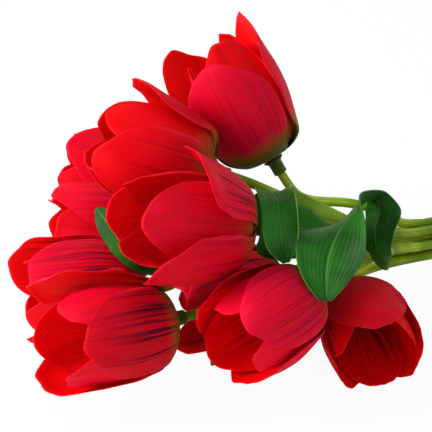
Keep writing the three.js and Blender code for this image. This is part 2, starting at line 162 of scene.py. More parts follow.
# Each tulip: its stem's place in the bundle (ring, and slot in degrees), the neck where flower and
# stem meet, the flower's heading, pitch and turn in degrees, how far the stem's curve reaches where
# it leaves the bundle and arrives at the flower, a point that it passes (via) and its direction
# there (through), the flower's size, and how it is pressed flat: towards an angle, to a share.
# inner and outer change the petals of a whorl: all of them, or one by its number.
TULIPS = [
    {
        "name": "a", "ring": "outer", "slot": 64,
        "neck": [-119, 65, 66], "heading": 120, "pitch": 55, "turn": 52,
        "leave": 60, "arrive": 50, "via": [-110, 14, 62], "through": [-50, 32, 4],
        "inner": {
            "all": {"flat": 6, "rise": 76, "width": 27},
            1: {"rise": 74, "tip": 108, "length": 74},
            2: {"length": 73},
        },
        "outer": {
            0: {"rise": 65, "tip": 109},
            1: {"rise": 74, "tip": 100, "length": 80.5, "flat": 9, "round": 2.2},
            2: {"rise": 67, "tip": 106, "length": 83},
        },
    },
    {
        "name": "b", "ring": "outer", "slot": 13,
        "neck": [-160, 56, 75], "heading": 150, "pitch": 21, "turn": 31,
        "leave": 115, "arrive": 90,
        "outer": {1: {"rise": 68, "tip": 90, "length": 65, "width": 21, "round": 1.3}},
    },
    {
        "name": "c", "ring": "outer", "slot": 321,
        "neck": [-152, 115, 30], "heading": 146, "pitch": 20, "turn": 89,
        "leave": 112, "arrive": 120,
        "size": 0.97, "press": {"toward": 119, "share": 0.86},
    },
    {
        "name": "d", "ring": "outer", "slot": 270,
        "neck": [-175, 80, 29], "heading": 152, "pitch": 9, "turn": 119,
        "leave": 90, "arrive": 150,
        "size": 0.95, "press": {"toward": 119, "share": 0.76},
    },
    {
        "name": "e", "ring": "inner", "slot": 330,
        "neck": [-203, 47, 27], "heading": 160, "pitch": 3, "turn": 85,
        "leave": 95, "arrive": 30, "via": [-139, 59, 32], "through": [-85, 24, -5],
        "press": {"toward": 120, "share": 0.86},
        "outer": {1: {"rise": 68, "tip": 100, "length": 76}},
    },
    {
        "name": "f", "ring": "outer", "slot": 116,
        "neck": [-175, 1, 75], "heading": 166, "pitch": 16, "turn": 116,
        "leave": 90, "arrive": 90,
        "inner": {"all": {"width": 26}},
        "outer": {
            0: {"rise": 60, "tip": 78, "length": 54},
            2: {"rise": 60, "tip": 102, "length": 64, "round": 3.2},
        },
    },
    {
        "name": "g", "ring": "inner", "slot": 90,
        "neck": [-215, 6, 36], "heading": 179, "pitch": 7, "turn": 55,
        "leave": 115, "arrive": 70, "via": [-135, 1, 40], "through": [-65, 3, -3],
        "size": 0.97,
        "inner": {2: {"rise": 70, "tip": 104}},
        "outer": {
            0: {"length": 66, "rise": 72},
            1: {"rise": 62, "tip": 104},
            2: {"rise": 75, "tip": 103, "length": 76},
        },
    },
    {
        "name": "h", "ring": "outer", "slot": 167,
        "neck": [-159, -23, 47], "heading": 194, "pitch": -3, "turn": 80,
        "leave": 65, "arrive": 25, "via": [-115, -16, 49], "through": [-54, -12, 3],
        "size": 0.87,
        "inner": {2: {"rise": 70, "tip": 106}},
        "outer": {1: {"rise": 65, "tip": 107}, 2: {"rise": 69, "tip": 109}},
    },
    {
        "name": "i", "ring": "outer", "slot": 219,
        "neck": [-122, -11, 25], "heading": 247, "pitch": -1, "turn": 126,
        "leave": 30, "arrive": 50,
        "size": 0.92, "press": {"toward": 178, "share": 0.9},
        "inner": {"all": {"rise": 80, "tip": 96, "length": 60, "width": 21}},
        "outer": {"all": {"rise": 75, "tip": 103, "length": 66}},
    },
    {
        "name": "j", "ring": "inner", "slot": 210,
        "neck": [-142, 25, 25], "heading": 180, "pitch": -2, "turn": 64,
        "leave": 70, "arrive": 50,
        "size": 0.83, "press": {"toward": 110, "share": 0.85},
        "inner": {1: {"length": 78, "tip": 104, "round": 3, "shoulder": 0.85}},
        "outer": {
            0: {"rise": 77, "tip": 101, "length": 82},
            1: {"rise": 75, "tip": 112, "length": 66},
            2: {"rise": 72, "tip": 106, "length": 84},
        },
    },
]

# Each leaf: the stem that it grows from, the step of the stem's line that its collar clasps, and
# rows along the blade: x, y and z of its middle, its half width, and the direction to its edge.
LEAVES = [
    {
        "name": "front", "stem": "h", "step": 4,
        "rows": [
            [-112, -23, 48, 3.5, -0.1, -0.1, 1],
            [-119, -24, 56, 6, 0.3, -0.8, 0.5],
            [-116, -17, 64, 10, 0.3, -0.8, 0.5],
            [-110, -12, 70, 10, 0.4, -0.8, 0.5],
            [-112, -10, 77, 5, 0.4, -0.7, 0.6],
            [-129, -18, 80, 9, 0.7, 0, 0.7],
            [-147, -29, 78, 15, 0.9, -0.2, 0.4],
            [-159, -38, 71, 14, 0.9, -0.4, 0.1],
            [-166, -47, 59, 4, 0.8, -0.5, 0],
        ],
    },
    {
        "name": "fold", "stem": "f", "step": 4,
        "rows": [
            [-116, 6, 57, 3, 0.3, 0.4, 0.9],
            [-123, 13, 59, 5, 0.4, 0.3, 0.8],
            [-132, 19, 62, 7, 0.4, 0.1, 0.9],
            [-141, 19, 69, 7, 0.6, -0.2, 0.7],
            [-155, 11, 83, 8, 0.9, -0.5, 0],
            [-164, -6, 89, 8, 0.9, -0.5, 0.1],
            [-168, -14, 83, 8, 0.9, -0.5, 0.1],
            [-171, -20, 76, 7, 0.8, -0.5, 0],
            [-171, -24, 68, 2, 0.8, -0.5, 0],
        ],
    },
    {
        "name": "rib", "stem": "f", "step": 5,
        "rows": [
            [-138, -8, 64, 6, 0.3, 0.4, 0.9],
            [-148, -8, 68, 11, 0.3, 0.4, 0.9],
            [-158, -7, 72, 13, 0.3, 0.4, 0.9],
            [-168, -7, 76, 13, 0.3, 0.4, 0.9],
            [-174, -7, 78, 11, 0.3, 0.4, 0.9],
        ],
    },
    {
        "name": "high", "stem": "b", "step": 3,
        "rows": [
            [-111, 26, 44, 4, 0.3, 0.4, 0.9],
            [-117, 32, 46, 5, 0.3, 0.4, 0.9],
            [-122, 37, 46, 6, 0.3, 0.4, 0.9],
            [-131, 40, 49, 11, 0.3, 0.4, 0.9],
            [-138, 44, 50, 11, 0.3, 0.4, 0.9],
            [-146, 47, 49, 3, 0.3, 0.4, 0.9],
        ],
    },
    {
        "name": "gap", "stem": "e", "step": 5,
        "rows": [
            [-167, 51, 38, 6, 0.3, 0.4, 0.9],
            [-187, 42, 44, 8, 0.3, 0.4, 0.9],
            [-203, 37, 49, 8, 0.3, 0.4, 0.9],
            [-214, 41, 57, 8, 0.6, 0.1, 0.8],
            [-218, 54, 64, 6, 0.8, -0.1, 0.6],
            [-219, 63, 68, 2, 0.8, -0.1, 0.6],
        ],
    },
    {
        "name": "low", "stem": "g", "step": 5,
        "rows": [
            [-144, -1, 33, 4, 0.8, -0.5, 0],
            [-150, -6, 28, 6, 0.8, -0.5, 0.4],
            [-162, -10, 21, 7, 0.5, -0.4, 0.8],
            [-178, -8, 15, 7, 0.2, -0.3, 0.9],
            [-198, -4, 12, 2, -0.1, -0.2, 1],
        ],
    },
]

# How strongly each flower's petals are streaked: the inner whorl, then the three outer petals.
STREAKS = {
    "a": (0.2, 0.25, 0.15, 0.3), "b": (0.2, 0.3, 0.5, 0.3), "c": (0.3, 0.4, 0.4, 0.4),
    "d": (0.3, 0.5, 0.5, 0.5), "e": (0.4, 1.0, 1.0, 0.8), "f": (0.35, 0.9, 0.35, 0.4),
    "g": (0.3, 1.0, 0.4, 0.3), "h": (0.4, 0.5, 0.5, 0.3), "i": (0.8, 0.15, 0.5, 0.4),
    "j": (0.6, 1.0, 1.0, 1.0),
}
# How crimson they are rather than plain red, in the same order.
CRIMSON = {
    "a": (0.1, 1.0, 0.8, 0.1), "b": (0.1, 0.2, 0.4, 0.2), "c": (0.4, 0.8, 0.8, 0.8),
    "d": (0.4, 0.8, 0.8, 0.8), "e": (0.3, 1.0, 1.0, 0.6), "f": (0.6, 0.9, 0.5, 0.6),
    "g": (0.7, 0.5, 0.3, 0.1), "h": (0.7, 1.0, 0.9, 0.8), "i": (0.1, 0.5, 0.5, 0.4),
    "j": (0.6, 0.8, 0.8, 0.8),
}
# How much painted shade, a darker red, is mixed in, in the same order, on the flowers that have
# any. It darkens the petals that face away from the light.
PAINTED_SHADE = {"f": (0.35, 0.0, 0.0, 0.35), "g": (0.0, 0.35, 0.0, 0.0)}
NO_PAINTED_SHADE = (0.0,) * 4
# How green the outer petals are at their base. PLAIN_GREEN goes for the rest.
GREEN_BASES = {"a": 1.0, "b": 0.6, "g": 0.6}
PLAIN_GREEN = 0.4
# Turn of the inner whorl in degrees, on the flowers whose inner petals aren't halfway between the
# outer ones.
INNER_TWIST = {"a": -30, "j": -20}
# How far the rims of some outer petals roll outwards, in millimetres, by the petal's number.
ROLLED = {"g": {1: 4.0}, "f": {0: 3.0, 1: 2.0, 2: 2.5}, "i": {0: 1.5}}

# Colours. Those in pairs are the light and the dark of a mottled finish.
CRIMSON_CLOTH = (0.7, 0.001, 0.03)
RED_CLOTH = (0.8, 0.0005, 0.002)
LIT_CLOTH = (0.98, 0.0005, 0.004)
# The darker red of painted shade.
PAINTED_SHADE_CLOTH = (0.3, 0.0, 0.008)
SHADED_CLOTH = (0.16, 0.0, 0.008)
# Painted pink highlight on the petal edges.
PETAL_EDGE_HIGHLIGHT = (0.9, 0.03, 0.09)
PETAL_STREAK = (0.05, 0.0, 0.014)
BASE_OLIVE = (0.16, 0.12, 0.006)
BASE_GREEN = (0.03, 0.075, 0.004)
LEAF_FOOT = (0.3, 0.42, 0.06)
LEAF_UPPER = {
    "light": (0.018, 0.16, 0.01), "dark": (0.005, 0.055, 0.003),
    "vein": (0.05, 0.24, 0.025), "rib": (0.08, 0.3, 0.04),
}
LEAF_UNDER = {
    "light": (0.3, 0.5, 0.03), "dark": (0.14, 0.33, 0.015),
    "vein": (0.4, 0.6, 0.08), "rib": (0.5, 0.66, 0.12),
}
SHEATH_COLOURS = ((0.46, 0.6, 0.025), (0.12, 0.23, 0.003))
MOULD_COLOURS = ((0.1, 0.17, 0.012), (0.035, 0.08, 0.005))
PISTIL_COLOURS = ((0.75, 0.55, 0.16), (0.42, 0.3, 0.05))
TAPE_COLOURS = ((0.1, 0.24, 0.05), (0.04, 0.13, 0.025))
WIRE_COLOURS = ((0.5, 0.5, 0.5), (0.35, 0.35, 0.36))

# Studio, in metres and watts. The camera sees a brighter world than the one that gives light.
FLOOR_SIZE = 30
FLOOR_WHITE = (0.92, 0.92, 0.92, 1)
FLOOR_GLOW = 0.95
WORLD_WHITE = (1, 1, 1, 1)
WORLD_LIGHT = 0.63
WORLD_SEEN = 1.0
LAMP_TARGET = (-0.05, 0, 0.04)
LAMPS = {
    "key": {"place": (-1.2, 0.4, 0.76), "size": 0.5, "power": 22},
    "fill": {"place": (-0.5, -1.1, 0.9), "size": 0.8, "power": 1.0},
}

# Camera fitted to the photograph: angles in degrees, lengths in millimetres, clipping in metres.
CAMERA_TURN = -32
CAMERA_PITCH = 30
CAMERA_DISTANCE = 750
FOCAL_PIXELS = 1562.5
PICTURE_PIXELS = 432
SENSOR_WIDTH = 36
CLIP_START = 0.05
CLIP_END = 50
# The point of the bundle at the photograph's right edge, and the picture's middle from there: to
# the right, up and towards the camera.
EDGE_POINT = (-70, 0, 36)
MIDDLE_FROM_EDGE = (-104, 11.5, 20)


def lerp(a, b, share):
    """Between a and b."""
    return a + (b - a) * share


def clamp(x, low=0.0, high=1.0):
    """The nearest to x from low to high."""
    return max(low, min(high, x))


def smooth(x):
    """0 below 0, 1 above 1, smooth between."""
    x = clamp(x)
    return x * x * (3 - 2 * x)


def unrest(*place):
    """Smooth noise, the same at the same place, of about -1 to 1."""
    return noise.noise(Vector(place))


def bundle_height(x):
    """Height of the sloping bundle's middle line at x."""
    return BUNDLE_HEIGHT - BUNDLE_SLOPE * x


BUNDLE_AXIS = Vector((-1, 0, BUNDLE_SLOPE)).normalized()
BAND_CENTRE = Vector((BAND_PLACE, 0, bundle_height(BAND_PLACE)))
band_low, band_high = (Vector(corner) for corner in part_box("binding_band"))
SHIFT = (band_low + band_high) / 2 - BAND_CENTRE * MM


def in_place(point):
    """A point of the layout, in millimetres, as a point of the object's frame, in metres."""
    return point * MM + SHIFT


# Finishes
class Paint:
    """Builds a material's nodes on a Principled shader."""

    def __init__(self, name, constants):
        self.material = bpy.data.materials.new(name)
        self.material.use_nodes = True
        self.tree = self.material.node_tree
        self.shader = self.tree.nodes["Principled BSDF"]
        for socket, value in constants.items():
            self.shader.inputs[socket].default_value = value

    def node(self, kind, settings=None, values=None, output=0):
        """A new node's output, with values on its sockets, or linked to them."""
        node = self.tree.nodes.new(kind)
        for key, value in (settings or {}).items():
            setattr(node, key, value)
        for key, value in (values or {}).items():
            self.put(node.inputs[key], value)
        return Maths(self, node.outputs[output])

    def put(self, socket, value):
        if isinstance(value, Maths):
            self.tree.links.new(value.socket, socket)
        else:
            socket.default_value = value

    def attribute(self, name):
        """A value that sheet_into left on the points."""
        return self.node("ShaderNodeAttribute", {"attribute_name": name}, output=2)

    def place(self):
        """A point's place on the piece, in metres."""
        return self.node("ShaderNodeTexCoord", output=3)

    def vector(self, x, y, z):
        return self.node("ShaderNodeCombineXYZ", values={0: x, 1: y, 2: z})

    def noise(self, vector, scale, detail):
        """Noise of about 0 to 1, with scale waves to each unit of the vector."""
        values = {"Vector": vector, "Scale": scale, "Detail": detail}
        return self.node("ShaderNodeTexNoise", values=values)

    def between(self, low, high, value):
        """0 below low, 1 above high, smooth between."""
        settings = {"interpolation_type": "SMOOTHSTEP"}
        values = {0: value, 1: low, 2: high, 3: 0.0, 4: 1.0}
        return self.node("ShaderNodeMapRange", settings, values)

    def mix(self, factor, first, second):
        """first where factor is 0, second where it is 1."""
        first = (*first, 1) if isinstance(first, tuple) else first
        second = (*second, 1) if isinstance(second, tuple) else second
        values = {0: factor, 6: first, 7: second}
        return self.node("ShaderNodeMix", {"data_type": "RGBA"}, values, output=2)

    def finish(self, colour, roughness, height, distance, strength):
        """Puts colour and roughness on the shader, and a bump of this height, in metres."""
        self.put(self.shader.inputs["Base Color"], colour)
        self.put(self.shader.inputs["Roughness"], roughness)
        values = {"Height": height, "Distance": distance, "Strength": strength}
        self.put(self.shader.inputs["Normal"], self.node("ShaderNodeBump", values=values))
        return self.material


class Maths:
    """A shader value. Arithmetic on it adds Math nodes."""

    def __init__(self, paint, socket):
        self.paint = paint
        self.socket = socket

    def math(self, operation, second=0.0):
        values = {0: self, 1: second}
        return self.paint.node("ShaderNodeMath", {"operation": operation}, values)

    def __add__(self, other):
        return self.math("ADD", other)

    def __sub__(self, other):
        return self.math("SUBTRACT", other)

    def __mul__(self, other):
        return self.math("MULTIPLY", other)

    def __abs__(self):
        return self.math("ABSOLUTE")

    def sine(self):
        return self.math("SINE")


def petal_finish(name, crimson, red, depth):
    """Satin-like petal fabric: fine weave, lengthwise streaks, a green base, painted shade and a
    painted pink highlight on the edges.
    """
    paint = Paint(name, {
        "Specular IOR Level": 0.08,
        "Subsurface Weight": 0.5,
        "Subsurface Scale": 0.0015,
        "Subsurface Radius": (1.0, 0.06, 0.08),
    })
    across = paint.attribute("across")
    along = paint.attribute("along")
    vary = paint.attribute("vary")
    side = abs(across)
    broad = paint.noise(paint.place(), 38.0, 2.0)
    colour = paint.mix(paint.attribute("crimson"), red, crimson)
    colour = paint.mix(paint.between(0.4, 0.7, broad) * 0.45, colour, red)
    # Painted shade: a darker red on the petals that face away from the light.
    colour = paint.mix(paint.attribute("painted_shade"), colour, PAINTED_SHADE_CLOTH)
    # Painted highlight: the edges turn pinker, as where light grazes them.
    colour = paint.mix(paint.between(0.88, 1.0, side) * 0.3, colour, PETAL_EDGE_HIGHLIGHT)

    # Streaks run from the base along the petal, wander a little and fade out at uneven heights.
    wander = paint.noise(paint.vector(across * 2.2, along * 1.6, vary * 9.0), 1.0, 2.0)
    course = across * 17.0 + wander * 2.5
    fine = paint.noise(paint.vector(course, along * 0.7, vary * 9.0), 1.0, 2.0)
    hair = paint.noise(paint.vector(across * 60.0, along * 1.8, vary * 5.0), 1.0, 2.0)
    ends = paint.noise(paint.vector(across * 7.0, vary * 3.0, 0.0), 1.0, 1.0)
    faded = paint.between(1.05, 0.5, along + side * 0.12 + (ends - 0.5) * 0.8)
    where = faded * paint.between(1.0, 0.8, side)
    lines = (paint.between(0.5, 0.6, fine) * 0.85 + paint.between(0.5, 0.7, hair) * 0.25) * where
    colour = paint.mix(lines * paint.attribute("streak"), colour, PETAL_STREAK)

    # Towards the base the cloth is darker, and then green.
    colour = paint.mix(paint.between(0.4, 0.1, along) * depth, colour, SHADED_CLOTH)
    green = paint.attribute("green")
    reach = along + (broad - 0.5) * 0.14 + (hair - 0.5) * 0.12
    colour = paint.mix(paint.between(0.38, 0.22, reach) * green, colour, BASE_OLIVE)
    colour = paint.mix(paint.between(0.29, 0.15, reach) * green, colour, BASE_GREEN)

    weave = paint.noise(paint.vector(across * 260.0, along * 60.0, vary), 1.0, 1.0)
    roughness = broad * 0.12 + weave * 0.1 + 0.42
    return paint.finish(colour, roughness, weave * 0.3 + fine * 1.1 + hair * 0.3, 0.0005, 0.8)


def leaf_finish(name, light, dark, vein, rib):
    """Leaf fabric with lengthwise veins, a midrib, a worn edge and a paler foot."""
    paint = Paint(name, {"Specular IOR Level": 0.15})
    across = paint.attribute("across")
    along = paint.attribute("along")
    side = abs(across)
    broad = paint.noise(paint.place(), 34.0, 3.0)
    colour = paint.mix(paint.between(0.35, 0.62, broad), light, dark)
    wave = (across * 44.0 + broad * 4.0).sine()
    colour = paint.mix(paint.between(0.4, 1.0, wave) * 0.22, colour, vein)
    middle = paint.between(0.06, 0.015, side)
    colour = paint.mix(middle * 0.6, colour, rib)
    colour = paint.mix(paint.between(0.93, 1.0, side) * 0.4, colour, vein)
    colour = paint.mix(paint.between(0.14, 0.03, along), colour, LEAF_FOOT)
    grain = paint.noise(paint.vector(across * 90.0, along * 30.0, 0.0), 1.0, 3.0)
    height = wave * 0.18 + grain * 0.4 - middle
    return paint.finish(colour, broad * 0.2 + 0.34, height, 0.0005, 0.6)


def plastic_finish(name, colours, roughness, stripes=0.0):
    """Moulded plastic, mottled and finely grained, with lengthwise stripes where asked."""
    light, dark = colours
    paint = Paint(name, {"Specular IOR Level": 0.2})
    place = paint.place()
    broad = paint.noise(place, 60.0, 3.0)
    grain = paint.noise(place, 900.0, 2.0)
    colour = paint.mix(paint.between(0.3, 0.7, broad), light, dark)
    if stripes:
        around = paint.attribute("across") * 11.0
        ridge = paint.noise(paint.vector(around, paint.attribute("along") * 4.0, 0.0), 1.0, 3.0)
        colour = paint.mix(paint.between(0.42, 0.62, ridge) * stripes, colour, dark)
    return paint.finish(colour, broad * 0.15 + (roughness - 0.05), grain, 0.0001, 0.4)


def wire_finish():
    """Drawn steel with fine scratches."""
    paint = Paint("drawn_wire", {"Metallic": 1.0})
    scratches = paint.noise(paint.place(), 500.0, 3.0)
    colour = paint.mix(scratches, *WIRE_COLOURS)
    return paint.finish(colour, scratches * 0.2 + 0.25, scratches, 0.00005, 0.3)


petal_outside = petal_finish("petal_outside", CRIMSON_CLOTH, RED_CLOTH, depth=0.5)
petal_inside = petal_finish("petal_inside", LIT_CLOTH, RED_CLOTH, depth=0.3)
leaf_upper = leaf_finish("leaf_upper", **LEAF_UPPER)
leaf_under = leaf_finish("leaf_under", **LEAF_UNDER)
sheath = plastic_finish("stem_sheath", SHEATH_COLOURS, roughness=0.4, stripes=0.85)
moulded = plastic_finish("moulded_green", MOULD_COLOURS, roughness=0.45)
pistil = plastic_finish("pistil_yellow", PISTIL_COLOURS, roughness=0.5)
tape = plastic_finish("binding_tape", TAPE_COLOURS, roughness=0.4)
drawn_wire = wire_finish()

# The values on a sheet's points: its place across and along, what varies it, and its shades.
MARKS = ("across", "along", "vary", "streak", "crimson", "painted_shade", "green")

# The two sides of the leaves that aren't dark above and pale below.
LEAF_SIDES = {"front": (leaf_upper, leaf_upper), "fold": (leaf_under, leaf_upper)}


# Shapes
def piece_of(name, bm, body, node, materials):
    """A new piece from a bmesh, riding on its body in place of its CAD node."""
    mesh = bpy.data.meshes.new(name)
    bm.to_mesh(mesh)
    bm.free()
    for polygon in mesh.polygons:
        polygon.use_smooth = True
    piece = bpy.data.objects.new(name, mesh)
    bpy.context.scene.collection.objects.link(piece)
    for material in materials:
        mesh.materials.append(material)
    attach(piece, body)
    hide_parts(node)
    return piece


def thicken(piece, wall):
    """Gives a sheet its wall. Its underside has the piece's second material."""
    solid = piece.modifiers.new("wall", "SOLIDIFY")
    solid.thickness = wall * MM
    solid.offset = 0
    solid.material_offset = 1
    solid.material_offset_rim = 0
    solid.use_even_offset = False


def sheet_into(bm, grid, at, along=lambda u, s: s, marks=None, closed=False):
    """Adds a grid bent to at(u, s), u from -1 to 1 and s from 0 to 1, with values on its points
    that the finishes read. A closed one is joined where u is -1 and 1."""
    floats = bm.verts.layers.float
    for key in MARKS:
        if floats.get(key) is None:
            floats.new(key)
    layers = {key: floats.get(key) for key in MARKS}
    columns, rows = grid
    made = bmesh.ops.create_grid(bm, x_segments=columns, y_segments=rows, size=1.0)["verts"]
    seam = []
    for vert in made:
        u, s = vert.co.x, (vert.co.y + 1) / 2
        vert.co = in_place(at(u, s))
        values = {**(marks or {}), "across": u, "along": along(u, s)}
        for key, layer in layers.items():
            vert[layer] = values.get(key, 0.0)
        if abs(abs(u) - 1) < SHEET_WELD:
            seam.append(vert)
    if closed:
        bmesh.ops.remove_doubles(bm, verts=seam, dist=SHEET_WELD)


def petal_slope(petal, t):
    """Slope of a petal's middle line, t millimetres from its root."""
    flat, bend, rise = petal["flat"], petal["bend"], petal["rise"]
    closing = clamp((t - flat - bend) / (petal["length"] - flat - bend))
    bent = smooth((t - flat) / bend)
    floor = petal["floor"]
    return math.radians(floor + (rise - floor) * bent + (petal["tip"] - rise) * closing)


def petal_line(petal):
    """A petal's middle line as a function of t: distance from the axis, height and slope."""
    line = [(petal["root"], petal["start"], petal_slope(petal, 0))]
    t = LINE_STEP
    while t <= petal["length"] * (1 + UNEVEN) + 3 * LINE_STEP:
        out, up, slope = line[-1]
        ahead = petal_slope(petal, t)
        middle = (slope + ahead) / 2
        line.append((out + LINE_STEP * math.cos(middle), up + LINE_STEP * math.sin(middle), ahead))
        t += LINE_STEP

    def read(t):
        i = int(t / LINE_STEP)
        share = t / LINE_STEP - i
        return [lerp(a, b, share) for a, b in zip(line[i], line[i + 1])]

    return read


def petal_surface(petal, place, seed, roll):
    """The petal's surface at(u, s), with the small waves of pressed fabric, and its reach(u)."""
    line = petal_line(petal)
    length, flat, bend = petal["length"], petal["flat"], petal["bend"]

    def reach(u):
        """Length of the petal at u, from its root to its rim."""
        tip = math.sqrt(max(0.0, 1 - abs(u) ** petal["round"]))
        uneven = 1 + UNEVEN * unrest(u * 2.2, seed * 1.9, 0.5)
        return length * lerp(petal["shoulder"], 1, tip) * uneven

    def at(u, s):
        t = s * reach(u)
        out, up, slope = line(t)
        grown = smooth(t / (petal["shoulder"] * length))
        width = petal["width"] * lerp(ROOT_WIDTH, 1, grown)
        half = min(math.radians(PETAL_SECTOR) * out, width)
        own = smooth((t - flat) / bend)
        radius = lerp(out, petal["cup"], own)
        angle = u * half / radius
        inward = radius * (1 - math.cos(angle))
        lean = Vector((own - 1 - own * math.sin(slope), own * math.cos(slope))).normalized()
        free = smooth((t - flat - bend) / FREE_LENGTH)
        wave = WAVE * unrest(u * 1.4 + seed, t * 0.035, seed * 2.7)
        crease = -CREASE * math.exp(-(u / CREASE_WIDTH) ** 2) * (1 - s * 0.6)
        ripple = RIPPLE * unrest(u * 6 + seed * 3, t * 0.02, seed)
        rim = smooth((max(abs(u), s) - RIM_START) / (1 - RIM_START))
        swing = (CURL + roll * CURL_GAIN) * unrest(seed * 5, t * 0.06, u * 1.5)
        proud = free * (wave + crease + ripple + rim * (roll + swing))
        normal = Vector((math.sin(slope), 0, -math.cos(slope)))
        point = Vector((out + inward * lean.x, radius * math.sin(angle), up + inward * lean.y))
        return place @ (point + normal * proud)

    return at, reach


def pressing(press):
    """Flattens a flower towards an angle about its axis, to a share of its width."""
    if not press:
        return Matrix()
    turn = math.radians(press["toward"])
    flatten = Matrix.Diagonal((press["share"], 1, 1, 1))
    return Matrix.Rotation(turn, 4, "Z") @ flatten @ Matrix.Rotation(-turn, 4, "Z")


def flower_frame(tulip):
    """Puts a flower that stands on the origin along +Z on its neck, along its axis."""
    return (
        Matrix.Translation(Vector(tulip["neck"]))
        @ Matrix.Rotation(math.radians(tulip["heading"]), 4, "Z")
        @ Matrix.Rotation(math.radians(90 - tulip["pitch"]), 4, "Y")
    )


def whorl(tulip, kind, basic, turn, column):
    """Three petals and the ring that joins them, as one piece. column gives each petal's column in
    the tables of shades."""
    name = tulip["name"]
    outer = kind == "outer"
    changes = tulip.get(kind, {})
    axis = flower_frame(tulip)
    pressed = axis @ pressing(tulip.get("press"))
    bm = bmesh.new()
    for i in range(PETALS):
        petal = {**basic, **changes.get("all", {}), **changes.get(i, {})}
        for part in SCALED_PARTS:
            petal[part] *= tulip.get("size", 1)
        place = pressed @ Matrix.Rotation(math.radians(turn + PETAL_TURN * i), 4, "Z")
        # Each petal has its own part of the noise.
        seed = ord(name) * 1.37 + i * 4.1 + (17 if outer else 0)
        roll = ROLLED.get(name, {}).get(i, OUTER_ROLL) if outer else INNER_ROLL
        at, reach = petal_surface(petal, place, seed, roll)
        marks = {
            "vary": seed % 7,
            "streak": STREAKS[name][column[i]],
            "crimson": CRIMSON[name][column[i]],
            "painted_shade": PAINTED_SHADE.get(name, NO_PAINTED_SHADE)[column[i]],
            "green": GREEN_BASES.get(name, PLAIN_GREEN) if outer else PLAIN_GREEN,
        }
        longest = petal["length"]
        sheet_into(bm, PETAL_GRID, at, lambda u, s: s * reach(u) / longest, marks)

    def ring(u, s):
        radius = lerp(POST_RADIUS + GAP, RING_RADIUS, s)
        x, y = radius * math.cos(math.pi * u), radius * math.sin(math.pi * u)
        return axis @ Vector((x, y, basic["start"] - RING_DROP))

    sheet_into(bm, RING_GRID, ring, lambda u, s: 0.0, {"green": PLAIN_GREEN}, closed=True)
    materials = [petal_outside, petal_inside]
    node = f"petals_{kind}_{name}"
    piece = piece_of(f"{kind}_petals_{name}", bm, f"flower_{name}", node, materials)
    thicken(piece, PETAL_WALL)


def flower_axis(tulip):
    """Direction of a flower, away from its stem."""
    pitch, heading = math.radians(tulip["pitch"]), math.radians(tulip["heading"])
    level = math.cos(pitch)
    return Vector((level * math.cos(heading), level * math.sin(heading), math.sin(pitch)))


def slot_point(tulip, x):
    """Middle of a stem in the bundle at x."""
    radius = INNER_RING if tulip["ring"] == "inner" else OUTER_RING
    angle = math.radians(tulip["slot"])
    return Vector((x, radius * math.cos(angle), bundle_height(x) + radius * math.sin(angle)))


def bezier(points, share):
    """A point of the curve with four control points."""
    a, b, c, d = points
    rest = 1 - share
    return (
        a * rest ** 3 + b * (3 * rest * rest * share) + c * (3 * rest * share * share)
        + d * share ** 3
    )


def stem_line(tulip):
    """The same points as the rigid stem's: bundle end, bundle start, the bend's steps and the
    socket."""
    start = slot_point(tulip, BUNDLE_START)
    neck = Vector(tulip["neck"])
    axis = flower_axis(tulip)
    to = neck - axis * (STEM_END + SOCKET_DEPTH + STRAIGHT_SPARE)
    leaving = BUNDLE_AXIS * tulip["leave"] / 3
    arriving = axis * tulip["arrive"] / 3
    if "via" in tulip:
        middle = Vector(tulip["via"])
        passing = Vector(tulip["through"]) / 3
        bends = [
            (start, start + leaving, middle - passing, middle),
            (middle, middle + passing, to - arriving, to),
        ]
    else:
        bends = [(start, start + leaving, to - arriving, to)]
    line = [slot_point(tulip, BUNDLE_END), start]
    steps = BEND_STEPS // len(bends)
    for bend in bends:
        line += [bezier(bend, (i + 1) / steps) for i in range(steps)]
    line.append(neck - axis * STEM_END)
    return line


def catmull(points, share):
    """three.js's Catmull-Rom curve with a tension of a half."""
    spans = len(points) - 1
    place = clamp(share) * spans
    i = min(int(place), spans - 1)
    w = place - i
    before = points[i - 1] if i > 0 else 2 * points[0] - points[1]
    after = points[i + 2] if i + 2 <= spans else 2 * points[spans] - points[spans - 1]
    p, q = points[i], points[i + 1]
    m, n = (q - before) * 0.5, (after - p) * 0.5
    return (2 * p - 2 * q + m + n) * w ** 3 + (-3 * p + 3 * q - 2 * m - n) * w ** 2 + m * w + p


def stem(tulip):
    """A round sheath along the stem's line, closed at its ends."""
    line = stem_line(tulip)
    samples = [line[0].lerp(line[1], k / STRAIGHT_STEPS) for k in range(STRAIGHT_STEPS)]
    steps = SPAN_STEPS * (len(line) - 2)
    samples += [catmull(line[1:], k / steps) for k in range(steps + 1)]
    rows = len(samples) - 1
    frames = []
    across = Vector((0, 1, 0))
    for i, point in enumerate(samples):
        ahead = (samples[min(i + 1, rows)] - samples[max(i - 1, 0)]).normalized()
        across = (across - ahead * across.dot(ahead)).normalized()
        frames.append((point, across.copy(), ahead.cross(across)))

    def at(u, s):
        point, one, two = frames[round(s * rows)]
        angle = math.pi * u
        around = one * math.cos(angle) + two * math.sin(angle)
        return point + around * (STEM_RADIUS * SHEATH_SHARE)

    bm = bmesh.new()
    sheet_into(bm, (STEM_SIDES, rows), at, closed=True)
    bmesh.ops.holes_fill(bm, edges=[edge for edge in bm.edges if edge.is_boundary], sides=0)
    bmesh.ops.recalc_face_normals(bm, faces=bm.faces[:])
    name = tulip["name"]
    piece_of(f"stem_{name}_sheath", bm, "bunch", f"stem_{name}", [sheath])


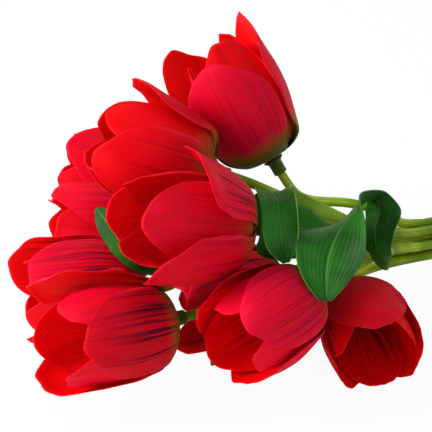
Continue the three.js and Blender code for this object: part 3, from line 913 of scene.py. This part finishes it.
def turned(outline, place, sides, second_from=math.inf):
    """A solid turned about +Z from an outline of radius and height, put in place. Its faces above
    the height second_from take the second material."""
    bm = bmesh.new()
    verts = [bm.verts.new((radius, 0, height)) for radius, height in outline]
    edges = [bm.edges.new(pair) for pair in zip(verts, verts[1:])]
    bmesh.ops.spin(
        bm, geom=verts + edges, cent=(0, 0, 0), axis=(0, 0, 1), angle=2 * math.pi, steps=sides,
        use_merge=True, use_duplicate=False,
    )
    bmesh.ops.remove_doubles(bm, verts=bm.verts[:], dist=TURNED_WELD)
    bmesh.ops.recalc_face_normals(bm, faces=bm.faces[:])
    for face in bm.faces:
        if face.calc_center_median().z > second_from:
            face.material_index = 1
    for vert in bm.verts:
        vert.co = in_place(place @ vert.co)
    return bm


def threaded(centre, axis):
    """Puts a solid turned about +Z on centre, along axis."""
    return Matrix.Translation(centre) @ axis.to_track_quat("Z", "X").to_matrix().to_4x4()


def receptacle(tulip):
    """Socket, flange, post and pistil, turned from one outline of radius and height."""
    edge = MOULD_EDGE
    top = -RING_WALL / 2 - GAP
    under = top - FLANGE_WALL
    floor = under - SOCKET_FLOOR
    mouth = floor - SOCKET_DEPTH
    bore = STEM_RADIUS + GAP
    outside = bore + SOCKET_WALL
    outline = [
        # Socket, from its floor out to its mouth and up to the flange.
        (0, floor), (bore, floor), (bore, mouth + edge), (bore + edge, mouth),
        (outside - edge, mouth), (outside, mouth + 0.3), (outside, under - 1.6),
        (outside + 0.4, under - 0.7),
        # Flange.
        (FLANGE_RADIUS - edge, under + 0.1), (FLANGE_RADIUS, top - 0.4),
        (FLANGE_RADIUS - edge, top),
        # Post and pistil.
        (POST_RADIUS + 0.3, top), (POST_RADIUS, top + 0.4), (POST_RADIUS, PISTIL_HEIGHT - 3.5),
        (POST_RADIUS + 0.3, PISTIL_HEIGHT - 2.4), (PISTIL_RADIUS, PISTIL_HEIGHT - 0.8),
        (PISTIL_RADIUS, PISTIL_HEIGHT + 0.4), (PISTIL_RADIUS * 0.6, PISTIL_HEIGHT + 1.4),
        (0, PISTIL_HEIGHT + 1.6),
    ]
    bm = turned(outline, flower_frame(tulip), TURNED_SIDES, YELLOW_FROM)
    name = tulip["name"]
    materials = [moulded, pistil]
    node = f"receptacle_{name}"
    piece_of(f"receptacle_{name}_moulding", bm, f"flower_{name}", node, materials)


def leaf(spec):
    """A blade on a collar: the collar clasps one straight step of its stem."""
    name, rows = spec["name"], spec["rows"]
    line = stem_line(next(tulip for tulip in TULIPS if tulip["name"] == spec["stem"]))
    start, end = line[spec["step"]], line[spec["step"] + 1]
    share = min(COLLAR_LENGTH / (end - start).length, COLLAR_SHARE) / 2
    low, high = start.lerp(end, 0.5 - share), start.lerp(end, 0.5 + share)
    along = (high - low).normalized()
    centre = low.lerp(high, 0.5)
    away = Vector(rows[0][:3]) - centre
    away = (away - along * away.dot(along)).normalized()
    radius = STEM_RADIUS + GAP + COLLAR_WALL
    root = centre + away * (radius - COLLAR_WALL / 2)
    tangent = along.cross(away)
    if tangent.dot(Vector(rows[0][4:])) < 0:
        tangent.negate()
    middles = [root] + [Vector(row[:3]) for row in rows]
    edges = [tangent] + [Vector(row[4:]) for row in rows]
    halves = [Vector((half, 0, 0)) for half in [COLLAR_WALL * 2] + [row[3] for row in rows]]
    # Each leaf has its own part of the noise.
    seed = sum(map(ord, name)) * 0.13

    def at(u, s):
        before, after = max(s - LEAF_STEP, 0), min(s + LEAF_STEP, 1)
        ahead = (catmull(middles, after) - catmull(middles, before)).normalized()
        edge = catmull(edges, s)
        edge = (edge - ahead * edge.dot(ahead)).normalized()
        tip = clamp((s - LEAF_TIP_START) / (1 - LEAF_TIP_START))
        half = catmull(halves, s).x * math.sqrt(1 - LEAF_TIP_LOSS * tip ** 2)
        out = ahead.cross(edge)
        grown = smooth(s / LEAF_WAVES_GROWN)
        wave = LEAF_WAVE * unrest(u * 1.5, s * 3.2, seed) * grown
        frill = LEAF_FRILL * unrest(seed, s * 9, u * 2) * abs(u) ** 3 * grown
        ridge = -LEAF_RIDGE * math.exp(-(u / LEAF_RIDGE_WIDTH) ** 2) * smooth(s / LEAF_RIDGE_GROWN)
        hollow = LEAF_HOLLOW * half * u * u + wave + frill + ridge
        return catmull(middles, s) + edge * (u * half) + out * hollow

    bm = bmesh.new()
    sheet_into(bm, LEAF_GRID, at, marks={"vary": seed})
    sides = LEAF_SIDES.get(name, (leaf_upper, leaf_under))
    blade = piece_of(f"leaf_{name}_blade", bm, "bunch", f"leaf_{name}", sides)
    thicken(blade, LEAF_WALL)

    inside, half = radius - COLLAR_WALL, (high - low).length / 2
    outline = [
        (inside, -half), (radius - MOULD_EDGE, -half), (radius, -half + COLLAR_EDGE),
        (radius, half - COLLAR_EDGE), (radius - MOULD_EDGE, half), (inside, half), (inside, -half),
    ]
    bm = turned(outline, threaded(centre, along), TURNED_SIDES)
    piece_of(f"leaf_{name}_collar", bm, "bunch", f"leaf_{name}", [leaf_under])


def band():
    """The binding band round the bundle."""
    radius = OUTER_RING + STEM_RADIUS + GAP + BAND_SPARE
    half = BAND_WIDTH / 2
    outline = [
        (radius, -half), (radius + BAND_SHOULDER, -half), (radius + BAND_WALL, -half + BAND_EDGE),
        (radius + BAND_WALL, half - BAND_EDGE), (radius + BAND_SHOULDER, half), (radius, half),
        (radius, -half),
    ]
    bm = turned(outline, threaded(BAND_CENTRE, BUNDLE_AXIS), BAND_SIDES)
    piece_of("binding_tape", bm, "bunch", "binding_band", [tape])


for tulip in TULIPS:
    turn, twist = tulip["turn"], INNER_TWIST.get(tulip["name"], 0)
    whorl(tulip, "inner", INNER_PETAL, turn + twist, (0, 0, 0))
    whorl(tulip, "outer", OUTER_PETAL, turn + PETAL_TURN / 2, (1, 2, 3))
    receptacle(tulip)
    stem(tulip)
    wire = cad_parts[f"wire_{tulip['name']}"]
    wire.data.materials.clear()
    wire.data.materials.append(drawn_wire)

for spec in LEAVES:
    leaf(spec)
band()


# Studio and camera
def studio_floor():
    """A matt white floor that the camera sees nearly as bright as the world behind it."""
    bpy.ops.mesh.primitive_plane_add(size=FLOOR_SIZE, location=(0, 0, 0))
    floor = bpy.context.object
    floor.name = "studio_floor"
    paint = bpy.data.materials.new("studio_floor")
    paint.use_nodes = True
    tree = paint.node_tree
    tree.nodes.clear()
    output = tree.nodes.new("ShaderNodeOutputMaterial")
    mix = tree.nodes.new("ShaderNodeMixShader")
    matt = tree.nodes.new("ShaderNodeBsdfDiffuse")
    matt.inputs["Color"].default_value = FLOOR_WHITE
    glow = tree.nodes.new("ShaderNodeEmission")
    path = tree.nodes.new("ShaderNodeLightPath")
    share = tree.nodes.new("ShaderNodeMath")
    share.operation = "MULTIPLY"
    share.inputs[1].default_value = FLOOR_GLOW
    tree.links.new(path.outputs["Is Camera Ray"], share.inputs[0])
    tree.links.new(share.outputs[0], mix.inputs[0])
    tree.links.new(matt.outputs[0], mix.inputs[1])
    tree.links.new(glow.outputs[0], mix.inputs[2])
    tree.links.new(mix.outputs[0], output.inputs["Surface"])
    floor.data.materials.append(paint)


def studio_world():
    """An even white world, brighter to the camera than to the object."""
    world = bpy.data.worlds.new("studio")
    bpy.context.scene.world = world
    world.use_nodes = True
    tree = world.node_tree
    background = tree.nodes["Background"]
    path = tree.nodes.new("ShaderNodeLightPath")
    strength = tree.nodes.new("ShaderNodeMapRange")
    tree.links.new(path.outputs["Is Camera Ray"], strength.inputs[0])
    strength.inputs[3].default_value = WORLD_LIGHT
    strength.inputs[4].default_value = WORLD_SEEN
    tree.links.new(strength.outputs[0], background.inputs["Strength"])
    background.inputs["Color"].default_value = WORLD_WHITE


def studio_lamp(name, place, size, power):
    """A round lamp that points at LAMP_TARGET."""
    data = bpy.data.lights.new(name, "AREA")
    data.shape = "DISK"
    data.size = size
    data.energy = power
    lamp = bpy.data.objects.new(name, data)
    bpy.context.scene.collection.objects.link(lamp)
    lamp.location = place
    aim = Vector(LAMP_TARGET) - Vector(place)
    lamp.rotation_euler = aim.to_track_quat("-Z", "Y").to_euler()


def photo_camera():
    """The camera that the photograph was taken with, as fitted to it."""
    data = bpy.data.cameras.new("photo_camera")
    camera = bpy.data.objects.new("photo_camera", data)
    bpy.context.scene.collection.objects.link(camera)
    data.sensor_width = SENSOR_WIDTH
    data.lens = SENSOR_WIDTH * FOCAL_PIXELS / PICTURE_PIXELS
    data.clip_start = CLIP_START
    data.clip_end = CLIP_END
    turn, pitch = math.radians(CAMERA_TURN), math.radians(CAMERA_PITCH)
    right = Vector((math.cos(turn), math.sin(turn), 0))
    level = math.cos(pitch)
    back = Vector((right.y * level, -right.x * level, math.sin(pitch)))
    up = back.cross(right)
    to_right, to_up, to_back = MIDDLE_FROM_EDGE
    target = Vector(EDGE_POINT) + right * to_right + up * to_up + back * to_back
    camera.location = in_place(target + back * CAMERA_DISTANCE)
    camera.rotation_euler = Matrix((right, up, back)).transposed().to_euler()
    bpy.context.scene.camera = camera


studio_floor()
studio_world()
for lamp_name, lamp_values in LAMPS.items():
    studio_lamp(lamp_name, **lamp_values)
photo_camera()
bpy.context.scene.view_settings.view_transform = "Standard"
